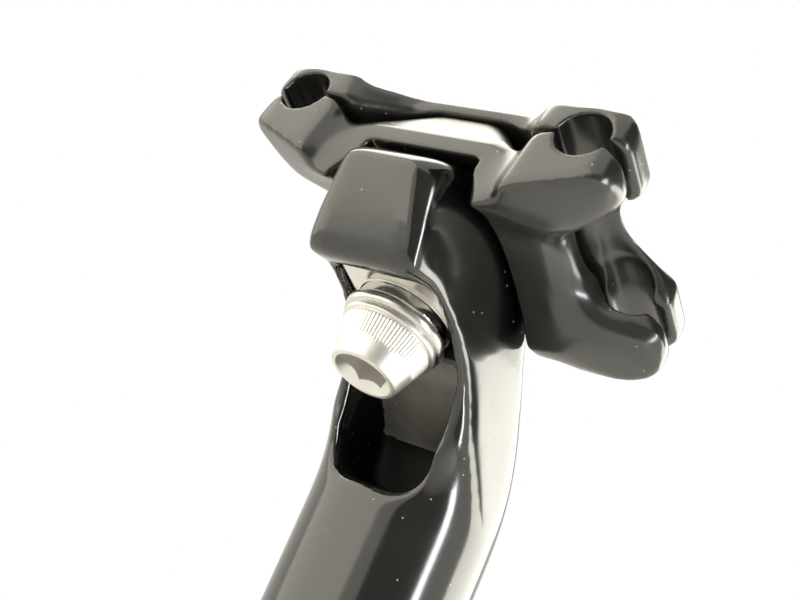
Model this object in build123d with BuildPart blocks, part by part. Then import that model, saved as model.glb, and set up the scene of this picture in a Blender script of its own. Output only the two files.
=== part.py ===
from build123d import *
import os
from math import cos, radians, sin, sqrt, tan

# Setback seatpost: a round tube that bends back into a forged head, with a tilting two-piece rail clamp
# drawn down on the head by one screw from below.
# Frame: +Z up along the tube from the centre of its foot, +Y to the front of the bicycle, +X to the right.

# Tube
tube_d = 27.2
tube_wall = 2.6
bore_roof = 6.0

# Place of the saddle rails and of the tilt axis
post_length = 300.0
setback = 14.6
clamp_tilt = 17.0
rail_d = 7.0
rail_gauge = 44.0
rail_over_arch = 0.5
rail_clearance = 0.05
tilt_travel = 12.0

# Neck: the tube bent back, pressed flat at the sides
bend_r = 30.0
bend_angle = 35.0
bend_height = -5.6
flank_foot = -12.3
flank_half_knee = 9.0
flank_knee = 11.7
flank_half_top = 8.0

# Arch that the clamp rides on, and the blunt nose behind it, about the tilt axis
arch_r = 29.0
nose_angle = 34.0
nose_half_tip = 5.6
nose_taper = 31.0
nose_back = 17.0
nose_heel_back = 12.3
nose_heel_rise = 10.4
throat_r = 16.6
throat_back = 6.8
throat_drop = 5.4
throat_turn = 100.0
throat_half = 8.2
throat_lip_r = 3.0
throat_lip_turn = 55.0
slab_foot = 5.0

# Pocket behind the neck, seat of the half-moon washer, and slot that the screw swings in
pocket_side_clearance = 0.3
pocket_half_foot = 7.4
pocket_half_roof = 8.5
pocket_foot = -11.7
pocket_roof = 6.4
pocket_shoulder = -3.0
pocket_depth = 13.0
pocket_corner_r = 4.5
seat_r = 13.5
slot_clearance = 0.5

# Lower cradle
clamp_length = 39.2
cradle_clearance = 0.25
channel_side_gap = 0.6
channel_widening = 0.4
channel_knee_drop = 6.0
channel_draft = 23.0
lead_start = 13.0
lead_slope = 16.0
cheek_depth = 5.8
cheek_back = 1.3
cheek_drop = 0.6
relief_start = 10.6
relief_drop = 11.6
relief_slope = 26.0
lobe_depth = 5.4
lobe_slope = 21.0
lobe_outer_reach = 6.2
lobe_inner_reach = 6.5
lobe_recess = 2.5
lobe_tip_length = 7.0
lobe_root_half = 5.5
cradle_waist_reach = 4.0
inner_hump_drop = 0.3
outer_hump_drop = 1.4
valley_drop = 1.7
valley_margin = 1.5
crown_rise = 5.8
crown_half_top = 5.6
crown_half_foot = 13.0
crown_length_top = 26.0
crown_length_foot = 34.0

# Upper clamp
cap_length = 39.8
cap_slit = 1.0
cap_inner_rise = 0.1
cap_lobe_rise = 4.9
cap_gap = 0.4
cap_thickness = 2.2
cap_crest_half = 9.4
cap_crest_rise = 4.8
cap_bridge_length = 26.6
cap_bridge_half = 9.5
cap_waist_reach = 0.4
cap_tip_length = 9.5
cap_side_draft = 8.0
scoop_r = 5.6
scoop_reach = 1.4
scoop_drop = 1.0
scoop_length = 10.0
scoop_taper = 7.0
boss_d = 17.0
boss_rise = 11.5

# Screw and washers
screw_d = 8.0
screw_stand = 0.6
thread_clearance = 0.05
hole_clearance = 0.4
head_height = 7.0
head_d = 13.2
head_end_d = 9.6
band_d = 13.9
band_height = 1.0
key_width = 6.0
key_depth = 5.4
key_lead_d = 8.4
washer_d = 15.0
washer_thickness = 1.8
saddle_thickness = 3.0
saddle_boss_d = 13.6
saddle_boss_height = 1.9
saddle_clearance = 0.1
saddle_side_clearance = 0.3

# Edge radii
corner_r = 3.5
notch_r = 2.0
cap_edge_r = 2.0
edge_r = 1.4
nose_edge_r = 0.8
fine_r = 0.5

# Values that follow from the sizes above
tube_r = tube_d / 2
tilt_sin = sin(radians(clamp_tilt))
tilt_cos = cos(radians(clamp_tilt))
rail_rise = arch_r + rail_over_arch
pivot_y = -setback - rail_rise * tilt_sin
pivot_z = post_length - rail_rise * tilt_cos
groove_r = rail_d / 2 + rail_clearance
half_length = clamp_length / 2
rail_x = rail_gauge / 2
half_width = rail_x + lobe_outer_reach
lobe_inner = rail_x - lobe_inner_reach
valley_half = lobe_inner - valley_margin
cradle_waist = rail_x - cradle_waist_reach
cap_waist = rail_x + cap_waist_reach
scoop_x = rail_x + scoop_reach
cradle_roof_r = arch_r + cradle_clearance
cheek_r = arch_r - cheek_depth
relief_rise = arch_r - relief_drop
lobe_foot = arch_r - lobe_depth
channel_knee = arch_r - channel_knee_drop
channel_half_top = flank_half_top + channel_side_gap
channel_half_knee = channel_half_top + channel_widening
crown_top = rail_rise + crown_rise
cap_floor = crown_top + cap_gap
pocket_half = washer_d / 2 + pocket_side_clearance
saddle_flat = seat_r - saddle_clearance - saddle_thickness
washer_top = saddle_flat - saddle_boss_height
head_top = washer_top - washer_thickness
head_foot = head_top - head_height
screw_end = rail_rise + boss_rise + screw_stand
reach = 3 * arch_r

# Working planes, all with the tilt axis as their origin
pivot = (0, pivot_y, pivot_z)
head_side = Plane(origin=pivot, x_dir=(0, 1, 0), z_dir=(1, 0, 0))
head_front = Plane(origin=pivot, x_dir=(1, 0, 0), z_dir=(0, -1, 0))
clamp_plan = Plane(origin=pivot, x_dir=(1, 0, 0), z_dir=(0, tilt_sin, tilt_cos))
clamp_side = Plane(origin=pivot, x_dir=(0, tilt_cos, -tilt_sin), z_dir=(1, 0, 0))
clamp_front = Plane(origin=pivot, x_dir=(1, 0, 0), z_dir=(0, -tilt_cos, tilt_sin))
screw_axis = Axis(pivot, (0, tilt_sin, tilt_cos))


def on_arc(radius, angle):
    """Point at a radius about the tilt axis, at an angle forward of straight up."""
    return (radius * sin(radians(angle)), radius * cos(radians(angle)))


# Post: tube, neck and head in one forging
axis_y = -pivot_y
bend_tangent = bend_r * tan(radians(bend_angle / 2))
neck_top = on_arc(arch_r, 90 - bend_angle)
nose_tip = on_arc(arch_r, -nose_angle)
nose_end = pivot_y - nose_back
nose_foot = (
    -throat_back + throat_r * cos(radians(throat_turn)),
    -throat_drop + throat_r * sin(radians(throat_turn)),
)
throat_centre = (0, pivot_y - throat_back, pivot_z - throat_drop)
nose_heel = (-nose_heel_back, nose_heel_rise)
throat_front = Plane(origin=throat_centre, x_dir=(1, 0, 0), z_dir=(0, -1, 0))
pocket_front = axis_y - tube_r + pocket_depth
pocket_elbow = (pocket_front, pocket_shoulder)
slot_half = screw_d / 2 / cos(radians(tilt_travel)) + slot_clearance
slot_flare = reach * tan(radians(tilt_travel))

with BuildPart() as pocket:
    with BuildSketch(head_front) as mouth:
        Polygon(
            (-pocket_half_foot, pocket_foot),
            (pocket_half_foot, pocket_foot),
            (pocket_half_roof, pocket_roof),
            (-pocket_half_roof, pocket_roof),
            align=None,
        )
        fillet(mouth.vertices().group_by(Axis.Y)[0], pocket_corner_r)
    extrude(amount=reach, both=True)
    with BuildSketch(head_side) as pocket_side:
        Polygon(
            (-reach / 2, -reach / 2),
            (pocket_front, -reach / 2),
            pocket_elbow,
            (seat_r * cos(radians(bend_angle)), pocket_roof),
            (-reach / 2, reach / 2),
            align=None,
        )
        fillet(pocket_side.vertices().sort_by_distance(pocket_elbow)[0], pocket_corner_r)
    extrude(amount=tube_r, both=True, mode=Mode.INTERSECT)

with BuildPart() as post:
    with BuildLine(head_side) as neck_line:
        neck_foot = Line((axis_y, bend_height - 2 * bend_tangent), (axis_y, bend_height - bend_tangent))
        neck_bend = JernArc(neck_foot @ 1, neck_foot % 1, bend_r, bend_angle)
        Line(neck_bend @ 1, neck_bend @ 1 + reach / 2 * (neck_bend % 1))
    with BuildSketch(Plane(origin=neck_foot @ 0, x_dir=(1, 0, 0), z_dir=(0, 0, 1))):
        Circle(tube_r)
    sweep(path=neck_line.line)
    with BuildSketch(head_side):
        with BuildLine():
            Polyline(
                (axis_y - bend_tangent, slab_foot),
                (-reach / 2, slab_foot),
                (-reach / 2, arch_r),
                (axis_y - bend_tangent - arch_r * tan(radians(bend_angle)), arch_r + slab_foot),
                close=True,
            )
        make_face()
    extrude(amount=tube_r, both=True)
    with BuildSketch(head_side) as head_outline:
        with BuildLine():
            Polyline(nose_foot, nose_heel, nose_tip)
            ThreePointArc(nose_tip, (0, arch_r), neck_top)
            Polyline(
                neck_top,
                (reach / 2, 0),
                (reach / 2, -reach / 2),
                (-throat_back, -reach / 2),
                (-throat_back, -throat_drop),
                nose_foot,
            )
        make_face()
        fillet(head_outline.vertices().sort_by_distance(nose_heel)[0], notch_r)
    extrude(amount=tube_d, both=True, mode=Mode.INTERSECT)
    with BuildSketch():
        with BuildLine():
            Polyline(
                (0, reach),
                (tube_d, reach),
                (tube_d, nose_end + (tube_d - nose_half_tip) / tan(radians(nose_taper))),
                (nose_half_tip, nose_end),
                (0, nose_end),
                close=True,
            )
        make_face()
        mirror(about=Plane.YZ)
    extrude(amount=2 * post_length, mode=Mode.INTERSECT)
    straight_edges = post.edges().filter_by(GeomType.LINE)
    nose_front = pivot_y - nose_heel_back - edge_r
    fillet(straight_edges.filter_by_position(Axis.Y, nose_end - edge_r, nose_front), nose_edge_r)
    with BuildSketch(head_front):
        with BuildLine():
            Polyline(
                (0, -reach / 2),
                (reach / 2, -reach / 2),
                (reach / 2, flank_foot),
                (tube_r, flank_foot),
                (flank_half_knee, flank_knee),
                (flank_half_top, arch_r),
                (0, arch_r),
                close=True,
            )
        make_face()
        mirror(about=Plane.YZ)
    extrude(amount=reach, both=True, mode=Mode.INTERSECT)
    with BuildSketch():
        Circle(tube_r)
    extrude(amount=pivot_z + bend_height - bend_tangent)
    with BuildSketch(throat_front):
        with BuildLine():
            Polyline(
                (0, 0),
                (0, throat_r),
                (throat_half, throat_r),
            )
            lip = JernArc((throat_half, throat_r), (1, 0), throat_lip_r, throat_lip_turn)
            lip_run = Line(lip @ 1, lip @ 1 + throat_lip_r * (lip % 1))
            Polyline(lip_run @ 1, ((lip_run @ 1).X, 0), (0, 0))
        make_face()
        mirror(about=Plane.YZ)
    revolve(axis=Axis(throat_centre, (1, 0, 0)), mode=Mode.SUBTRACT)
    with BuildSketch(head_side):
        Circle(seat_r)
        with Locations((0, -reach / 2)):
            Rectangle(reach, reach, mode=Mode.SUBTRACT)
    extrude(amount=pocket_half, both=True, mode=Mode.SUBTRACT)
    add(pocket.part, mode=Mode.SUBTRACT)
    with BuildSketch():
        Circle(tube_r - tube_wall)
    extrude(amount=pivot_z + pocket_foot - bore_roof, mode=Mode.SUBTRACT)
    with BuildSketch(clamp_side):
        Polygon(
            (-slot_half, 0),
            (slot_half, 0),
            (slot_half + slot_flare, reach),
            (-slot_half - slot_flare, reach),
            align=None,
        )
    extrude(amount=screw_d / 2 + hole_clearance, both=True, mode=Mode.SUBTRACT)
post.part.label = "post"

# Channel of the lower cradle: it fits over the arch and opens out below and at both ends
lead_height = sqrt(cradle_roof_r**2 - lead_start**2)
lead_drop = (half_length - lead_start) * tan(radians(lead_slope))

with BuildPart() as channel:
    with BuildSketch(clamp_front):
        with BuildLine():
            Polyline(
                (0, 0),
                (channel_half_knee + channel_knee * tan(radians(channel_draft)), 0),
                (channel_half_knee, channel_knee),
                (channel_half_top, cradle_roof_r),
                (0, cradle_roof_r),
                close=True,
            )
        make_face()
        mirror(about=Plane.YZ)
    extrude(amount=half_length, both=True)
    with BuildSketch(clamp_side):
        Circle(cradle_roof_r)
        Polygon(
            (0, 0),
            (half_length, 0),
            (half_length, lead_height - lead_drop),
            (lead_start, lead_height),
            align=None,
        )
        mirror(about=Plane.YZ)
    extrude(amount=half_width, both=True, mode=Mode.INTERSECT)

# Lower cradle
outer_hump = rail_rise - outer_hump_drop
inner_hump = rail_rise - inner_hump_drop
valley = rail_rise - valley_drop

with BuildPart() as lower_cradle:
    with BuildSketch(clamp_front) as cradle_front:
        with BuildLine():
            Polyline(
                (0, lobe_foot - half_width * tan(radians(lobe_slope))),
                (half_width, lobe_foot),
                (half_width, outer_hump),
                (rail_x, outer_hump),
                (rail_x, inner_hump),
                (lobe_inner + (inner_hump - valley) / 2, inner_hump),
                (valley_half, valley),
                (0, valley),
                close=True,
            )
        make_face()
        mirror(about=Plane.YZ)
        fillet(cradle_front.vertices().group_by(Axis.X)[0], edge_r)
        fillet(cradle_front.vertices().group_by(Axis.X)[-1], edge_r)
    extrude(amount=half_length, both=True)
    with BuildSketch(clamp_plan) as plan:
        with BuildLine():
            Polyline(
                (0, half_length - lobe_recess),
                (lobe_inner - lobe_recess / 2, half_length - lobe_recess),
                (lobe_inner, half_length),
                (half_width, half_length),
                (half_width, half_length - lobe_tip_length),
                (cradle_waist, lobe_root_half),
                (cradle_waist, 0),
                (0, 0),
                close=True,
            )
        make_face()
        mirror(about=Plane.XZ)
        mirror(about=Plane.YZ)
        fillet(plan.vertices().filter_by(lambda v: abs(v.X) > half_width - edge_r), corner_r)
        fillet(plan.vertices().filter_by(lambda v: abs(abs(v.X) - cradle_waist) < edge_r), corner_r)
        fillet(plan.vertices().filter_by(lambda v: 0 < lobe_inner - abs(v.X) < lobe_recess), edge_r)
        fillet(plan.vertices().filter_by(lambda v: abs(abs(v.X) - lobe_inner) < fine_r), edge_r)
    extrude(amount=reach, mode=Mode.INTERSECT)
    with BuildSketch(clamp_plan.offset(valley)):
        RectangleRounded(2 * crown_half_foot, crown_length_foot, notch_r)
    with BuildSketch(clamp_plan.offset(crown_top)):
        RectangleRounded(2 * crown_half_top, crown_length_top, notch_r)
    loft()
    add(channel.part, mode=Mode.SUBTRACT)
    with BuildSketch(clamp_side):
        with Locations((-cheek_back, -cheek_drop)):
            Circle(cheek_r)
        Polygon(
            (relief_start, relief_rise),
            (relief_start, 0),
            (relief_start + reach, 0),
            (relief_start + reach, relief_rise + reach * tan(radians(relief_slope))),
            align=None,
        )
    extrude(amount=half_width, both=True, mode=Mode.SUBTRACT)
    with BuildSketch(clamp_front):
        with Locations((-rail_x, rail_rise), (rail_x, rail_rise)):
            Circle(groove_r)
    extrude(amount=clamp_length, both=True, mode=Mode.SUBTRACT)
    with BuildSketch(clamp_plan):
        Circle(screw_d / 2 + hole_clearance)
    extrude(amount=reach, mode=Mode.SUBTRACT)
lower_cradle.part.label = "lower_cradle"

# Scoop under the upper clamp, between the two lobes of a side
scoop_plan = clamp_plan.offset(rail_rise - scoop_drop)

with BuildPart() as waist_scoop:
    with BuildSketch(scoop_plan):
        Polygon(
            (scoop_x, scoop_length / 2 + scoop_taper),
            (scoop_x - scoop_r, scoop_length / 2),
            (scoop_x - scoop_r, -scoop_length / 2),
            (scoop_x, -scoop_length / 2 - scoop_taper),
            align=None,
        )
    revolve(axis=Axis(scoop_plan.from_local_coords((scoop_x, 0, 0)), scoop_plan.y_dir))
    mirror(about=Plane.YZ)

# Upper clamp, threaded for the screw
cap_lip = outer_hump + cap_slit
cap_inner = rail_rise + cap_inner_rise
cap_crest = rail_rise + cap_crest_rise
cap_lobe_top = rail_rise + cap_lobe_rise
cap_top = cap_floor + cap_thickness

with BuildPart() as upper_clamp:
    with BuildSketch(clamp_front) as cap_front:
        with BuildLine():
            Polyline(
                (0, cap_floor),
                (crown_half_top + cap_gap, cap_floor),
                (cap_crest_half, cap_crest),
                (valley_half, cap_inner),
                (rail_x, cap_inner),
                (rail_x, cap_lip),
                (half_width, cap_lip),
                (half_width - (cap_lobe_top - cap_lip) * tan(radians(cap_side_draft)), cap_lobe_top),
                (lobe_inner, cap_lobe_top),
                (cap_crest_half, cap_top),
                (0, cap_top),
                close=True,
            )
        make_face()
        mirror(about=Plane.YZ)
        cap_top_corners = cap_front.vertices().filter_by_position(Axis.Y, cap_lobe_top - fine_r, cap_top)
        fillet(cap_top_corners, cap_edge_r)
    extrude(amount=cap_length / 2, both=True)
    with BuildSketch(clamp_side):
        Polygon(
            (-cap_length / 2, 0),
            (cap_length / 2, 0),
            (cap_length / 2, cap_lobe_top),
            (cap_length / 2 - cap_edge_r, cap_lobe_top),
            (cap_bridge_length / 2, cap_top),
            (cap_bridge_length / 2, reach),
            (-cap_bridge_length / 2, reach),
            (-cap_bridge_length / 2, cap_top),
            (cap_edge_r - cap_length / 2, cap_lobe_top),
            (-cap_length / 2, cap_lobe_top),
            align=None,
        )
    extrude(amount=half_width, both=True, mode=Mode.INTERSECT)
    with BuildSketch(clamp_plan) as cap_plan:
        with BuildLine():
            Polyline(
                (0, cap_bridge_length / 2),
                (cap_bridge_half, cap_bridge_length / 2),
                (lobe_inner, cap_length / 2),
                (half_width, cap_length / 2),
                (half_width, cap_length / 2 - cap_tip_length),
                (cap_waist, notch_r),
                (cap_waist, 0),
                (0, 0),
                close=True,
            )
        make_face()
        mirror(about=Plane.XZ)
        mirror(about=Plane.YZ)
        fillet(cap_plan.vertices().filter_by(lambda v: abs(v.X) > half_width - edge_r), corner_r)
        fillet(cap_plan.vertices().filter_by(lambda v: abs(abs(v.X) - cap_waist) < fine_r), edge_r)
        bridge_corners = cap_plan.vertices().filter_by(lambda v: abs(v.X) < lobe_inner + fine_r)
        fillet(bridge_corners.filter_by(lambda v: abs(v.X) > cap_bridge_half - fine_r), corner_r)
    extrude(amount=reach, mode=Mode.INTERSECT)
    with BuildSketch(clamp_plan.offset(cap_floor)):
        Circle(boss_d / 2)
    extrude(amount=boss_rise - crown_rise - cap_gap)
    with BuildSketch(clamp_front):
        with Locations((-rail_x, rail_rise), (rail_x, rail_rise)):
            Circle(groove_r)
    extrude(amount=clamp_length, both=True, mode=Mode.SUBTRACT)
    add(waist_scoop.part, mode=Mode.SUBTRACT)
    with BuildSketch(clamp_plan):
        Circle(screw_d / 2 + thread_clearance)
    extrude(amount=reach, mode=Mode.SUBTRACT)
upper_clamp.part.label = "upper_clamp"

# Screw
with BuildPart() as clamp_bolt:
    with BuildSketch(clamp_side):
        with BuildLine():
            Polyline(
                (0, head_foot),
                (head_end_d / 2, head_foot),
                (head_d / 2, head_top - band_height),
                (band_d / 2, head_top - band_height),
                (band_d / 2, head_top),
                (screw_d / 2, head_top),
                (screw_d / 2, screw_end),
                (0, screw_end),
                close=True,
            )
        make_face()
    revolve(axis=screw_axis)
    with BuildSketch(clamp_plan.offset(head_foot)):
        RegularPolygon(key_width / 2, 6, major_radius=False)
    extrude(amount=key_depth, mode=Mode.SUBTRACT)
    with BuildSketch(clamp_side):
        Polygon(
            (0, head_foot),
            (key_lead_d / 2, head_foot),
            (0, head_foot + key_lead_d / 2),
            align=None,
        )
    revolve(axis=screw_axis, mode=Mode.SUBTRACT)
clamp_bolt.part.label = "clamp_bolt"

# Washers
with BuildPart() as bolt_washer:
    with BuildSketch(clamp_plan.offset(head_top)):
        Circle(washer_d / 2)
        Circle(screw_d / 2 + hole_clearance, mode=Mode.SUBTRACT)
    extrude(amount=washer_thickness)
bolt_washer.part.label = "bolt_washer"

with BuildPart() as saddle_washer:
    with BuildSketch(clamp_side):
        Circle(seat_r - saddle_clearance)
        with Locations((0, saddle_flat - reach / 2)):
            Rectangle(reach, reach, mode=Mode.SUBTRACT)
    extrude(amount=pocket_half - saddle_side_clearance, both=True)
    with BuildSketch(clamp_plan.offset(washer_top)):
        Circle(saddle_boss_d / 2)
    extrude(amount=saddle_flat - washer_top)
    with BuildSketch(clamp_plan):
        Circle(screw_d / 2 + hole_clearance)
    extrude(amount=reach, mode=Mode.SUBTRACT)
saddle_washer.part.label = "saddle_washer"

os.makedirs("parts", exist_ok=True)
export_step(post.part, "parts/post.step")
export_step(lower_cradle.part, "parts/lower_cradle.step")
export_step(upper_clamp.part, "parts/upper_clamp.step")
export_step(clamp_bolt.part, "parts/clamp_bolt.step")
export_step(bolt_washer.part, "parts/bolt_washer.step")
export_step(saddle_washer.part, "parts/saddle_washer.step")
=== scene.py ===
from math import cos, pi, radians, sin, tan

import bmesh
import bpy
import numpy as np
from mathutils import Matrix, Vector


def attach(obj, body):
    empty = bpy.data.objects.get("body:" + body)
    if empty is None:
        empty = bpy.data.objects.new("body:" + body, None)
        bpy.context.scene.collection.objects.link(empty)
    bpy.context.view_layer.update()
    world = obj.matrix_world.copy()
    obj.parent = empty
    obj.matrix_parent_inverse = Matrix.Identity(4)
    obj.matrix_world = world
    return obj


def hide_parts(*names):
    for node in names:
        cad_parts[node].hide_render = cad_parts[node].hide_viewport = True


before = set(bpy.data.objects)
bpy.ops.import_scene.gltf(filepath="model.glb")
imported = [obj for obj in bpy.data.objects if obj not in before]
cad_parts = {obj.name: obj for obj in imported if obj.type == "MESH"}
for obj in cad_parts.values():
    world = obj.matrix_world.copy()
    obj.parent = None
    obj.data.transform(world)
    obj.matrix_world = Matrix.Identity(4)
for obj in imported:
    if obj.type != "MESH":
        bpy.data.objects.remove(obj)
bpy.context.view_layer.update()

MM = 0.001

# Sizes shared with the solids, in mm; heights on the screw run along its axis from the pivot
TUBE_R = 13.6
BORE_R = 11.0
BORE_ROOF = 254.089
RAIL_X = 22.0
RAIL_RISE = 29.5
HEAD_FOOT = -0.3
HEAD_FOOT_R = 4.8
HEAD_BACK_R = 6.6
HEAD_TOP = 6.7
FLANGE_R = 6.95
SHANK_R = 4.0
SCREW_END = 41.6
KEY_SIZE = 6.0
KEY_ROOF = 5.1
PITCH = 1.25
WASHER_HOLE_R = 4.4
WASHER_R = 7.5
WASHER_TOP = 8.5

# The clamp's frame: origin on the tilt axis, z along the screw
TILT = radians(17)
PIVOT = Vector((0, -23.225, 271.789)) * MM
CLAMP = Matrix.Translation(PIVOT) @ Matrix(
    ((1, 0, 0, 0), (0, cos(TILT), sin(TILT), 0), (0, -sin(TILT), cos(TILT), 0), (0, 0, 0, 1))
)

# Sizes chosen for the dressed meshes, in mm, with the turned ones' steps round
HEAD_CUT = 222.0
CUT_MARGIN = 8.0
SLEEVE = 0.8
TUBE_MIDDLE = 120
FACE_SLACK = 0.05
TUBE_STEPS = 160
CONE_TOP = 5.5
LIP_R, LIP_TOP = 6.35, 5.85
SHANK_MIDDLE = 30
TIP_R, TIP_LENGTH = 3.4, 0.7
KEY_TURN = radians(10)
KNURL_LOW, KNURL_HIGH = 2.2, 5.75
KNURL_DEPTH = 0.09
KNURL_MIN_R = 4.3
KNURL_STEP = 0.25
KNURL_TEETH = 72
STEPS_PER_TOOTH = 6
THREAD_LOW, THREAD_HIGH = 24.0, SCREW_END - 0.15
THREAD_DEPTH = 0.62
THREAD_STEP = 0.125
THREAD_STEPS = 72
LEAD_R, LEAD_TIP = 5.2, 4.2
WASHER_STEPS = 128

# Share of the way to its neighbours' mean that a vertex goes in one turn of smoothing
SMOOTH_FACTOR = 0.5


# Mesh helpers

def evaluated(obj):
    """Bake an object's modifiers into its mesh."""
    graph = bpy.context.evaluated_depsgraph_get()
    mesh = bpy.data.meshes.new_from_object(obj.evaluated_get(graph))
    obj.modifiers.clear()
    obj.data = mesh


def piece(name, mesh):
    """Put a mesh into the scene as an object."""
    obj = bpy.data.objects.new(name, mesh)
    bpy.context.scene.collection.objects.link(obj)
    return obj


def piece_from(name, bm):
    """Put a bmesh into the scene as an object and free it."""
    mesh = bpy.data.meshes.new(name)
    bm.to_mesh(mesh)
    bm.free()
    return piece(name, mesh)


def cad_copy(name, node):
    """A welded copy of a CAD node's mesh as a new object."""
    bm = bmesh.new()
    bm.from_mesh(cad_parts[node].data)
    bmesh.ops.remove_doubles(bm, verts=bm.verts, dist=1e-6)
    return piece_from(name, bm)


def keep_above(bm, height):
    """Cut a bmesh level at a height in mm and drop what lies below."""
    whole = bm.verts[:] + bm.edges[:] + bm.faces[:]
    bmesh.ops.bisect_plane(
        bm, geom=whole, plane_co=(0, 0, height * MM), plane_no=(0, 0, 1), clear_inner=True
    )


def add_smooth(obj, turns):
    smooth = obj.modifiers.new("relax", "SMOOTH")
    smooth.factor = SMOOTH_FACTOR
    smooth.iterations = turns
    return smooth


def soften(obj, voxel, turns):
    """Remesh to an even grid of voxel mm and relax it, so every forged edge is rounded."""
    remesh = obj.modifiers.new("grid", "REMESH")
    remesh.mode = "VOXEL"
    remesh.voxel_size = voxel * MM
    add_smooth(obj, turns)
    evaluated(obj)


def fade(value, start, end):
    """0 before start, 1 after end, smooth between."""
    t = min(max((value - start) / (end - start), 0.0), 1.0)
    return t * t * (3 - 2 * t)


def relax_where(obj, weight, turns):
    """Relax further where weight(point in mm, point in the clamp's frame in mm) is above zero."""
    group = obj.vertex_groups.new(name="soft")
    to_clamp = CLAMP.inverted()
    for v in obj.data.vertices:
        amount = weight(v.co / MM, to_clamp @ v.co / MM)
        if amount > 0.01:
            group.add([v.index], min(amount, 1), "REPLACE")
    add_smooth(obj, turns).vertex_group = "soft"
    evaluated(obj)
    obj.vertex_groups.clear()


def fill_valleys(obj, weight, turns, turns_per_normal=20):
    """Grow a fillet in the hollows where weight (as in relax_where) is above zero; ridges stay."""
    mesh = obj.data
    count = len(mesh.vertices)
    to_clamp = CLAMP.inverted()
    share = np.array([weight(v.co / MM, to_clamp @ v.co / MM) for v in mesh.vertices])
    place = np.empty(count * 3)
    mesh.vertices.foreach_get("co", place)
    place = place.reshape(count, 3)
    ends = np.empty(len(mesh.edges) * 2, dtype=np.int32)
    mesh.edges.foreach_get("vertices", ends)
    near = np.concatenate((ends[0::2], ends[1::2]))
    far = np.concatenate((ends[1::2], ends[0::2]))
    degree = np.bincount(near, minlength=count)[:, None]
    normal = np.empty(count * 3)
    for turn in range(turns):
        if turn % turns_per_normal == 0:
            mesh.vertices.foreach_set("co", place.ravel())
            mesh.update()
            mesh.vertex_normals.foreach_get("vector", normal)
        out = normal.reshape(count, 3)
        middle = np.stack([np.bincount(near, place[far, k], count) for k in range(3)], 1) / degree
        rise = np.maximum(((middle - place) * out).sum(1), 0)
        place += (SMOOTH_FACTOR * share * rise)[:, None] * out
    mesh.vertices.foreach_set("co", place.ravel())
    mesh.update()


def shade(obj, angle=None):
    """Shade smooth, with edges sharper than angle degrees kept sharp."""
    for poly in obj.data.polygons:
        poly.use_smooth = True
    if angle is not None:
        obj.data.set_sharp_from_angle(angle=radians(angle))


def lathe(name, profile, steps, place, wobble=None):
    """Turn a profile of (radius, height) in mm that is closed or runs from axis to axis.

    wobble(radius, height, turn), where given, says the radius at each turn.
    """
    bm = bmesh.new()
    rings = []
    for radius, height in profile:
        if radius == 0:
            rings.append([bm.verts.new((0, 0, height * MM))])
            continue
        ring = []
        for i in range(steps):
            turn = 2 * pi * i / steps
            r = radius if wobble is None else wobble(radius, height, turn)
            ring.append(bm.verts.new((r * cos(turn) * MM, r * sin(turn) * MM, height * MM)))
        rings.append(ring)
    pairs = list(zip(rings, rings[1:]))
    if len(rings[0]) > 1:
        pairs.append((rings[-1], rings[0]))
    for low, high in pairs:
        for i in range(steps):
            j = (i + 1) % steps
            if len(low) == 1:
                bm.faces.new((low[0], high[j], high[i]))
            elif len(high) == 1:
                bm.faces.new((low[i], low[j], high[0]))
            else:
                bm.faces.new((low[i], low[j], high[j], high[i]))
    bmesh.ops.recalc_face_normals(bm, faces=bm.faces)
    bm.transform(place)
    return piece_from(name, bm)


def rounded(points, radius, steps=4, most=0.45):
    """Round the inner corners of an open profile, each over at most a share of its two sides."""
    out = [points[0]]
    for a, b, c in zip(points, points[1:], points[2:]):
        a, b, c = Vector(a), Vector(b), Vector(c)
        u = (a - b).normalized()
        v = (c - b).normalized()
        half = u.angle(v) / 2
        back = min(radius / tan(half), (a - b).length * most, (c - b).length * most)
        start = b + u * back
        end = b + v * back
        for k in range(steps + 1):
            t = k / steps
            out.append(tuple((1 - t) ** 2 * start + 2 * t * (1 - t) * b + t * t * end))
    out.append(points[-1])
    return out


def cut(obj, tool):
    """Take a tool object out of an object and remove the tool."""
    bool_mod = obj.modifiers.new("cut", "BOOLEAN")
    bool_mod.operation = "DIFFERENCE"
    bool_mod.solver = "EXACT"
    bool_mod.object = tool
    evaluated(obj)
    bpy.data.objects.remove(tool)


# Regions of the post, as weights at a point p in mm

def nose(p, c):
    return min(fade(-p.y, 27, 32), fade(p.z, 274, 278))


def nose_sides(p, c):
    return fade(abs(p.x), 5.2, 6.8) * fade(-p.y, 25, 29) * fade(p.z, 272, 277)


def nose_top(p, c):
    return fade(-p.y, 25, 29) * fade(p.z, 288, 293)


def neck(p, c):
    """The neck with the pocket's rim."""
    return fade(p.z, 232, 240) * (1 - fade(p.z, 276, 283))


# Regions of the clamp, as weights at a point c in the clamp's frame in mm

def at_waist(p, c):
    """1 between the two lobes of a side, 0 on the lobes."""
    return 1 - fade(abs(c.y), 7.5, 10.5)


def rail_distance(c):
    return Vector((abs(c.x) - RAIL_X, c.z - RAIL_RISE)).length


def off_rails(c):
    """0 where a rail passes, 1 clear of it."""
    return fade(rail_distance(c), 3.7, 4.6)


def off_grooves(p, c):
    """0 on the rail grooves of the lobes, 1 elsewhere."""
    return max(fade(rail_distance(c), 3.8, 5.2), at_waist(p, c))


def off_grooves_and_arch(p, c):
    """As off_grooves, and low in the channel that rides on the post's arch."""
    channel = 1 - fade(abs(c.x), 9.2, 10.2) if c.z < RAIL_RISE + 0.5 else 0
    return off_grooves(p, c) * (1 - 0.75 * channel)


def cradle_sides(p, c):
    return off_rails(c) * fade(abs(c.x), 10.3, 11.5)


def cradle_waist(p, c):
    return at_waist(p, c) * fade(abs(c.x), 11.5, 14.5) * off_rails(c)


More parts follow.
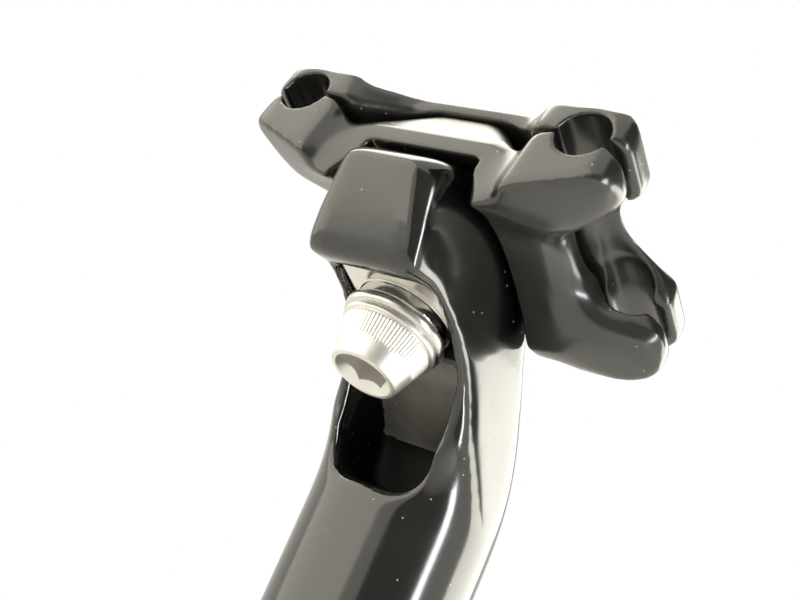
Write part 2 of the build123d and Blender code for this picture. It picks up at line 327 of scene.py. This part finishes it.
def cradle_underside(p, c):
    return fade(abs(c.x), 11, 13.5) * fade(-c.z, -26, -24) * fade(-abs(c.y), -17, -13)


def crown(p, c):
    return fade(c.z, 28.5, 30.5) * (1 - fade(abs(c.x), 11.5, 13.5))


def cap_sides(p, c):
    return off_rails(c) * fade(abs(c.x), 12, 14)


def cap_waist(p, c):
    return at_waist(p, c) * fade(abs(c.x), 14, 17) * off_rails(c)


# Post: softened head on a turned tube

def make_head():
    obj = cad_copy("post_body", "post")
    bm = bmesh.new()
    bm.from_mesh(obj.data)
    bore = [
        f for f in bm.faces
        if max(v.co.xy.length for v in f.verts) < (BORE_R + FACE_SLACK) * MM
        and f.calc_center_median().z < (BORE_ROOF + FACE_SLACK) * MM
    ]
    bmesh.ops.delete(bm, geom=bore, context="FACES")
    keep_above(bm, HEAD_CUT - CUT_MARGIN)
    bmesh.ops.holes_fill(bm, edges=[e for e in bm.edges if e.is_boundary])
    bm.to_mesh(obj.data)
    bm.free()
    soften(obj, voxel=0.36, turns=34)
    relax_where(obj, nose, turns=26)
    relax_where(obj, nose_sides, turns=90)
    relax_where(obj, nose_top, turns=150)
    relax_where(obj, neck, turns=120)
    bm = bmesh.new()
    bm.from_mesh(obj.data)
    keep_above(bm, HEAD_CUT)
    bm.to_mesh(obj.data)
    bm.free()
    return obj


def make_tube():
    """The tube below the head, with a hidden sleeve that closes its bore inside the head."""
    profile = [
        (0, BORE_ROOF + SLEEVE),
        (BORE_R + SLEEVE, BORE_ROOF + SLEEVE),
        (BORE_R + SLEEVE, HEAD_CUT),
        (TUBE_R, HEAD_CUT),
        (TUBE_R, TUBE_MIDDLE),
        (TUBE_R, 2.0),
        (TUBE_R, 0.9),
        (TUBE_R - 0.25, 0.3),
        (TUBE_R - 0.9, 0),
        (BORE_R + 0.6, 0),
        (BORE_R, 0.6),
        (BORE_R, TUBE_MIDDLE),
        (BORE_R, BORE_ROOF),
        (0, BORE_ROOF),
    ]
    return lathe("post_tube", profile, TUBE_STEPS, Matrix.Identity(4))


# Clamp: cradle below the rails and cap above them

def make_cradle():
    obj = cad_copy("cradle_body", "lower_cradle")
    soften(obj, voxel=0.3, turns=10)
    relax_where(obj, off_grooves_and_arch, turns=70)
    fill_valleys(obj, cradle_sides, turns=320)
    relax_where(obj, cradle_waist, turns=480)
    relax_where(obj, cradle_underside, turns=480)
    relax_where(obj, crown, turns=45)
    return obj


def make_cap():
    obj = cad_copy("cap_body", "upper_clamp")
    soften(obj, voxel=0.3, turns=10)
    relax_where(obj, off_grooves, turns=70)
    fill_valleys(obj, cap_sides, turns=200)
    relax_where(obj, cap_waist, turns=420)
    return obj


# Screw: knurled cone head, hexagon socket and threaded end

def make_bolt():
    steps = KNURL_TEETH * STEPS_PER_TOOTH

    def knurl(radius, height, turn):
        """Radius with the knurl's grooves taken off, on the head's cone only."""
        level = fade(height, KNURL_LOW, KNURL_LOW + 0.6) * fade(-height, -KNURL_HIGH, 0.3 - KNURL_HIGH)
        if radius < KNURL_MIN_R:
            level = 0
        groove = max(0.0, cos(turn * KNURL_TEETH)) ** 2
        return radius - KNURL_DEPTH * groove * level

    def cone(height):
        return HEAD_FOOT_R + (HEAD_BACK_R - HEAD_FOOT_R) * (height - HEAD_FOOT) / (HEAD_TOP - 1 - HEAD_FOOT)

    side = rounded(
        [
            (0, HEAD_FOOT),
            (cone(HEAD_FOOT), HEAD_FOOT),
            (cone(CONE_TOP), CONE_TOP),
            (LIP_R, KNURL_HIGH),
            (FLANGE_R, LIP_TOP),
            (FLANGE_R, HEAD_TOP),
            (SHANK_R, HEAD_TOP),
            (SHANK_R, SHANK_MIDDLE),
            (SHANK_R, SCREW_END - TIP_LENGTH),
            (TIP_R, SCREW_END),
            (0, SCREW_END),
        ],
        radius=0.3,
    )
    profile = []
    for (r0, h0), (r1, h1) in zip(side, side[1:]):
        profile.append((r0, h0))
        if h1 < HEAD_TOP - 0.2 and min(r0, r1) > KNURL_MIN_R:
            parts = int(max(abs(h1 - h0), abs(r1 - r0)) / KNURL_STEP)
            for k in range(1, parts):
                t = k / parts
                profile.append((r0 + (r1 - r0) * t, h0 + (h1 - h0) * t))
    profile.append(side[-1])
    body = lathe("bolt_body", profile, steps, CLAMP, knurl)
    foot = HEAD_FOOT - 1
    corner_r = KEY_SIZE / 2 / cos(pi / 6)
    spin = Matrix.Rotation(KEY_TURN, 4, "Z")
    key = [(0, foot), (corner_r, foot), (corner_r, KEY_ROOF), (0, KEY_ROOF)]
    cut(body, lathe("key", key, 6, CLAMP @ spin))
    lead = [(0, foot), (LEAD_R, foot), (0, HEAD_FOOT + LEAD_TIP)]
    cut(body, lathe("lead", lead, steps, CLAMP))
    return body


def make_thread():
    """Helical thread round the top of the screw, running out at its end."""
    flank, run_out, run_out_depth = 0.42, 0.9, 0.45
    rows = int((THREAD_HIGH - THREAD_LOW) / THREAD_STEP)
    bm = bmesh.new()
    grid = []
    for k in range(rows + 1):
        height = THREAD_LOW + (THREAD_HIGH - THREAD_LOW) * k / rows
        ring = []
        for i in range(THREAD_STEPS):
            turn = 2 * pi * i / THREAD_STEPS
            phase = (height / PITCH - turn / (2 * pi)) % 1
            depth = THREAD_DEPTH * max(0.0, 1 - abs(phase - 0.5) / flank)
            lead = min(1.0, (THREAD_HIGH - height) / run_out)
            r = (SHANK_R - depth) - run_out_depth * (1 - lead)
            ring.append(bm.verts.new((r * cos(turn) * MM, r * sin(turn) * MM, height * MM)))
        grid.append(ring)
    for low_ring, high_ring in zip(grid, grid[1:]):
        for i in range(THREAD_STEPS):
            j = (i + 1) % THREAD_STEPS
            bm.faces.new((low_ring[i], low_ring[j], high_ring[j], high_ring[i]))
    bm.faces.new(grid[-1])
    bm.faces.new(list(reversed(grid[0])))
    bm.transform(CLAMP)
    return piece_from("bolt_thread", bm)


# Washers

def make_washer():
    ring = [
        (WASHER_HOLE_R, HEAD_TOP + 0.2),
        (WASHER_HOLE_R + 0.2, HEAD_TOP),
        (WASHER_R - 0.75, HEAD_TOP),
        (WASHER_R - 0.3, HEAD_TOP + 0.12),
        (WASHER_R - 0.08, HEAD_TOP + 0.4),
        (WASHER_R, HEAD_TOP + 0.8),
        (WASHER_R, WASHER_TOP - 0.5),
        (WASHER_R - 0.12, WASHER_TOP - 0.2),
        (WASHER_R - 0.45, WASHER_TOP),
        (WASHER_HOLE_R + 0.2, WASHER_TOP),
        (WASHER_HOLE_R, WASHER_TOP - 0.2),
    ]
    return lathe("washer_body", ring, WASHER_STEPS, CLAMP)


def make_saddle():
    obj = cad_copy("saddle_body", "saddle_washer")
    soften(obj, voxel=0.16, turns=4)
    return obj


# Materials; texture scales are per metre

BUMP_DISTANCE = 0.0001
DUST_CELLS = 480
DUST_SIZE = 0.06
DUST_SHARE = 0.55
DUST_COLOUR = (0.5, 0.49, 0.46, 1)

# Colour sockets of a Mix node
MIX_A, MIX_B, MIX_OUT = 6, 7, 2


def material(name):
    """A new material with its nodes, links, shader and object coordinates."""
    mat = bpy.data.materials.new(name)
    mat.use_nodes = True
    nodes = mat.node_tree.nodes
    coords = nodes.new("ShaderNodeTexCoord").outputs["Object"]
    return mat, nodes, mat.node_tree.links, nodes["Principled BSDF"], coords


def noise(nodes, links, coords, scale, detail=3.0, rough=0.55):
    node = nodes.new("ShaderNodeTexNoise")
    node.inputs["Scale"].default_value = scale
    node.inputs["Detail"].default_value = detail
    node.inputs["Roughness"].default_value = rough
    links.new(coords, node.inputs["Vector"])
    return node.outputs["Fac"]


def vary(nodes, links, coords, scale, stops, socket):
    """Drive a socket by noise through a ramp of two stops, each a place with a value or colour."""
    ramp = nodes.new("ShaderNodeValToRGB")
    for element, (at, value) in zip(ramp.color_ramp.elements, stops):
        element.position = at
        element.color = (value, value, value, 1) if isinstance(value, float) else (*value, 1)
    links.new(noise(nodes, links, coords, scale), ramp.inputs["Fac"])
    links.new(ramp.outputs["Color"], socket)


def grain_bump(nodes, links, coords, scale, strength, shader):
    bump = nodes.new("ShaderNodeBump")
    bump.inputs["Strength"].default_value = strength
    bump.inputs["Distance"].default_value = BUMP_DISTANCE
    links.new(noise(nodes, links, coords, scale, 2.0), bump.inputs["Height"])
    links.new(bump.outputs["Normal"], shader.inputs["Normal"])


def calculate(nodes, links, operation, *terms):
    """A Math node on terms that are numbers or sockets."""
    node = nodes.new("ShaderNodeMath")
    node.operation = operation
    for socket, term in zip(node.inputs, terms):
        if isinstance(term, float):
            socket.default_value = term
        else:
            links.new(term, socket)
    return node.outputs[0]


def dust_mask(nodes, links, coords):
    """1 on small specks in a share of the cells, 0 elsewhere."""
    speck = nodes.new("ShaderNodeTexVoronoi")
    speck.inputs["Scale"].default_value = DUST_CELLS
    links.new(coords, speck.inputs["Vector"])
    split = nodes.new("ShaderNodeSeparateColor")
    links.new(speck.outputs["Color"], split.inputs["Color"])
    small = calculate(nodes, links, "LESS_THAN", speck.outputs["Distance"], DUST_SIZE)
    few = calculate(nodes, links, "LESS_THAN", split.outputs["Red"], DUST_SHARE)
    return calculate(nodes, links, "MULTIPLY", small, few)


def black_paint(name, grey, rough_low, rough_high, grain, ior=1.9):
    """Black coat with an uneven tint and sheen, a fine grain and specks of dust."""
    mat, nodes, links, shader, coords = material(name)
    colour = nodes.new("ShaderNodeMix")
    colour.data_type = "RGBA"
    dark, light = (grey, grey * 0.96, grey * 0.9), (grey * 2, grey * 1.92, grey * 1.78)
    tint_scale, sheen_scale, grain_scale = 160, 90, 700
    vary(nodes, links, coords, tint_scale, [(0.3, dark), (0.7, light)], colour.inputs[MIX_A])
    colour.inputs[MIX_B].default_value = DUST_COLOUR
    links.new(dust_mask(nodes, links, coords), colour.inputs["Factor"])
    links.new(colour.outputs[MIX_OUT], shader.inputs["Base Color"])
    sheen = [(0.35, rough_low), (0.75, rough_high)]
    vary(nodes, links, coords, sheen_scale, sheen, shader.inputs["Roughness"])
    grain_bump(nodes, links, coords, grain_scale, grain, shader)
    shader.inputs["IOR"].default_value = ior
    return mat


def bright_steel(name, colour, rough_low, rough_high):
    """Bare bright steel with an uneven tint and polish."""
    mat, nodes, links, shader, coords = material(name)
    tint_scale, polish_scale, grain_scale = 260, 500, 1800
    tint = [(0.3, tuple(c * 0.9 for c in colour)), (0.7, colour)]
    vary(nodes, links, coords, tint_scale, tint, shader.inputs["Base Color"])
    shader.inputs["Metallic"].default_value = 1
    polish = [(0.3, rough_low), (0.7, rough_high)]
    vary(nodes, links, coords, polish_scale, polish, shader.inputs["Roughness"])
    grain_bump(nodes, links, coords, grain_scale, 0.04, shader)
    return mat


def matte(name, dark, light, scale, rough):
    """Plain dull surface for the stage."""
    mat, nodes, links, shader, coords = material(name)
    vary(nodes, links, coords, scale, [(0.3, dark), (0.7, light)], shader.inputs["Base Color"])
    shader.inputs["Roughness"].default_value = rough
    return mat


# Dressing the solids

POCKET_HALF = 8.6
POCKET_REACH = 12.9
POCKET_FOOT, POCKET_ELBOW, POCKET_TOP = 258, 268.8, 279


def paint_pocket_shade_and_light(obj, shade_paint, light_paint):
    """Painted shade and light in the key pocket: a darker paint on its walls for the shade deep in it, and
    a light grey paint on the leaning wall behind the screw for the light that wall catches.
    """
    obj.data.materials.append(shade_paint)
    obj.data.materials.append(light_paint)
    for poly in obj.data.polygons:
        at = poly.center / MM
        inside = abs(at.x) < POCKET_HALF and at.xy.length < POCKET_REACH
        if inside and POCKET_FOOT < at.z < POCKET_TOP:
            # Painted light on the leaning wall, painted shade on the rest of the pocket
            leaning = at.z > POCKET_ELBOW and poly.normal.y < -0.5
            poly.material_index = 2 if leaning else 1


def dress(obj, node, body, mat, angle=None):
    """Shade a piece, give it its material, hide the CAD part it replaces, and hang it on the body it rides
    on.
    """
    shade(obj, angle)
    obj.data.materials.clear()
    obj.data.materials.append(mat)
    if node:
        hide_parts(node)
    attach(obj, body)


gloss = black_paint("black_gloss", 0.0035, 0.11, 0.17, 0.05)
# Painted shade: a darker paint with a low IOR for the walls deep in the key pocket, standing in for the
# shade that falls there; its roughness is the pocket's real dull surface
painted_shade_pocket = black_paint("pocket_painted_shade", 0.0025, 0.5, 0.6, 0.2, ior=1.3)
# Painted light: a light grey paint for the leaning pocket wall behind the screw, standing in for the light
# that wall catches; its roughness is the wall's real dull surface
painted_light_pocket = black_paint("pocket_painted_light", 0.11, 0.4, 0.5, 0.3)
satin = black_paint("black_satin", 0.013, 0.21, 0.28, 0.09)
chrome = bright_steel("bolt_chrome", (0.93, 0.91, 0.88), 0.38, 0.46)
steel = bright_steel("washer_steel", (0.82, 0.80, 0.77), 0.22, 0.34)
polished = bright_steel("saddle_steel", (0.80, 0.78, 0.75), 0.10, 0.16)

head = make_head()
dress(head, "post", "post", gloss)
paint_pocket_shade_and_light(head, painted_shade_pocket, painted_light_pocket)
dress(make_tube(), None, "post", gloss, 35)
dress(make_cradle(), "lower_cradle", "clamp", satin)
dress(make_cap(), "upper_clamp", "cap", satin)
dress(make_bolt(), "clamp_bolt", "bolt", chrome, 32)
dress(make_thread(), None, "bolt", chrome, 50)
dress(make_washer(), "bolt_washer", "clamp", steel, 40)
dress(make_saddle(), "saddle_washer", "clamp", polished)


# Studio, in metres round a point in the head

AIM = Vector((0, -0.02, 0.285))
FLOOR_R = 1.3


def around(azimuth, elevation, distance):
    """Point seen from AIM at an azimuth (0 ahead, 90 to the right) and an elevation in degrees."""
    a, e = radians(azimuth), radians(elevation)
    return AIM + distance * Vector((sin(a) * cos(e), cos(a) * cos(e), sin(e)))


def floor_disc(steps=96):
    mesh = bpy.data.meshes.new("floor")
    turns = [2 * pi * i / steps for i in range(steps)]
    mesh.from_pydata([(FLOOR_R * cos(t), FLOOR_R * sin(t), 0) for t in turns], [], [tuple(range(steps))])
    obj = piece("floor", mesh)
    dark, light = (0.76, 0.755, 0.74), (0.80, 0.795, 0.78)
    obj.data.materials.append(matte("floor_pale", dark, light, scale=12, rough=0.75))


def flag(name, place, width, height, grey):
    """A dark card that faces AIM and only shows in reflections."""
    mesh = bpy.data.meshes.new(name)
    x, y = width / 2, height / 2
    mesh.from_pydata([(-x, -y, 0), (x, -y, 0), (x, y, 0), (-x, y, 0)], [], [(0, 1, 2, 3)])
    obj = piece(name, mesh)
    obj.location = place
    obj.rotation_euler = (AIM - place).to_track_quat("Z", "Y").to_euler()
    dark, light = (grey, grey * 0.95, grey * 0.9), (grey * 1.25, grey * 1.2, grey * 1.13)
    obj.data.materials.append(matte(name + "_card", dark, light, scale=8, rough=0.9))
    obj.visible_camera = False
    obj.visible_diffuse = False
    obj.visible_shadow = False


def softbox(name, place, width, height, radiance, tint):
    """An area light that faces AIM, as bright at any size as its radiance says."""
    light = bpy.data.lights.new(name, "AREA")
    light.shape = "RECTANGLE"
    light.size = width
    light.size_y = height
    light.energy = radiance * pi * width * height
    light.color = tint
    obj = bpy.data.objects.new(name, light)
    bpy.context.scene.collection.objects.link(obj)
    obj.location = place
    obj.rotation_euler = (place - AIM).to_track_quat("Z", "Y").to_euler()


def white_world():
    """White to the camera, warm in reflections, and a weak fill for the rest."""
    world = bpy.data.worlds.new("studio")
    bpy.context.scene.world = world
    world.use_nodes = True
    nodes, links = world.node_tree.nodes, world.node_tree.links
    path = nodes.new("ShaderNodeLightPath").outputs
    seen = calculate(nodes, links, "MAXIMUM", path["Is Camera Ray"], path["Is Glossy Ray"])
    clear = calculate(nodes, links, "MAXIMUM", seen, path["Is Transmission Ray"])
    strength = nodes.new("ShaderNodeMapRange")
    strength.inputs["To Min"].default_value = 0.35
    strength.inputs["To Max"].default_value = 1.0
    links.new(clear, strength.inputs["Value"])
    colour = nodes.new("ShaderNodeMix")
    colour.data_type = "RGBA"
    colour.inputs[MIX_A].default_value = (1.0, 0.97, 0.88, 1)
    colour.inputs[MIX_B].default_value = (1, 1, 1, 1)
    links.new(path["Is Camera Ray"], colour.inputs["Factor"])
    links.new(colour.outputs[MIX_OUT], nodes["Background"].inputs["Color"])
    links.new(strength.outputs["Result"], nodes["Background"].inputs["Strength"])


floor_disc()
flag("flag_behind_camera", around(127, 10, 0.9), 1.25, 0.85, grey=0.18)
flag("flag_front", around(66, 40.5, 1.0), 1.5, 0.95, grey=0.02)
softbox("softbox_left", around(-138, 24, 1.3), 2.6, 1.7, radiance=1.1, tint=(1.0, 0.95, 0.78))
softbox("softbox_front_right", around(32, 13, 1.4), 1.45, 0.8, radiance=4.5, tint=(1.0, 0.985, 0.88))
softbox("softbox_dome", around(-58, 52, 1.2), 0.95, 0.8, radiance=3.6, tint=(1.0, 0.97, 0.85))
softbox("strip_right", around(96, 4, 0.8), 0.1, 0.5, radiance=14.0, tint=(0.95, 0.98, 1.0))
white_world()

# Camera at the photograph's place
FOCAL_PX, PHOTO_WIDTH_PX, SENSOR_MM = 1262.94, 800, 36
camera = bpy.data.cameras.new("camera")
camera.sensor_width = SENSOR_MM
camera.lens = FOCAL_PX * SENSOR_MM / PHOTO_WIDTH_PX
camera.clip_start = 0.01
eye = bpy.data.objects.new("camera", camera)
bpy.context.scene.collection.objects.link(eye)
right = Vector((0.79940615, 0.44751879, 0.40084504))
up = Vector((-0.21124112, -0.41522598, 0.88485286))
back = Vector((0.56242955, -0.79203177, -0.23739983))
turned = Matrix((right, up, back)).transposed().to_4x4()
eye.matrix_world = Matrix.Translation((0.093957, -0.154923, 0.24321)) @ turned
bpy.context.scene.camera = eye
bpy.context.scene.view_settings.view_transform = "Standard"
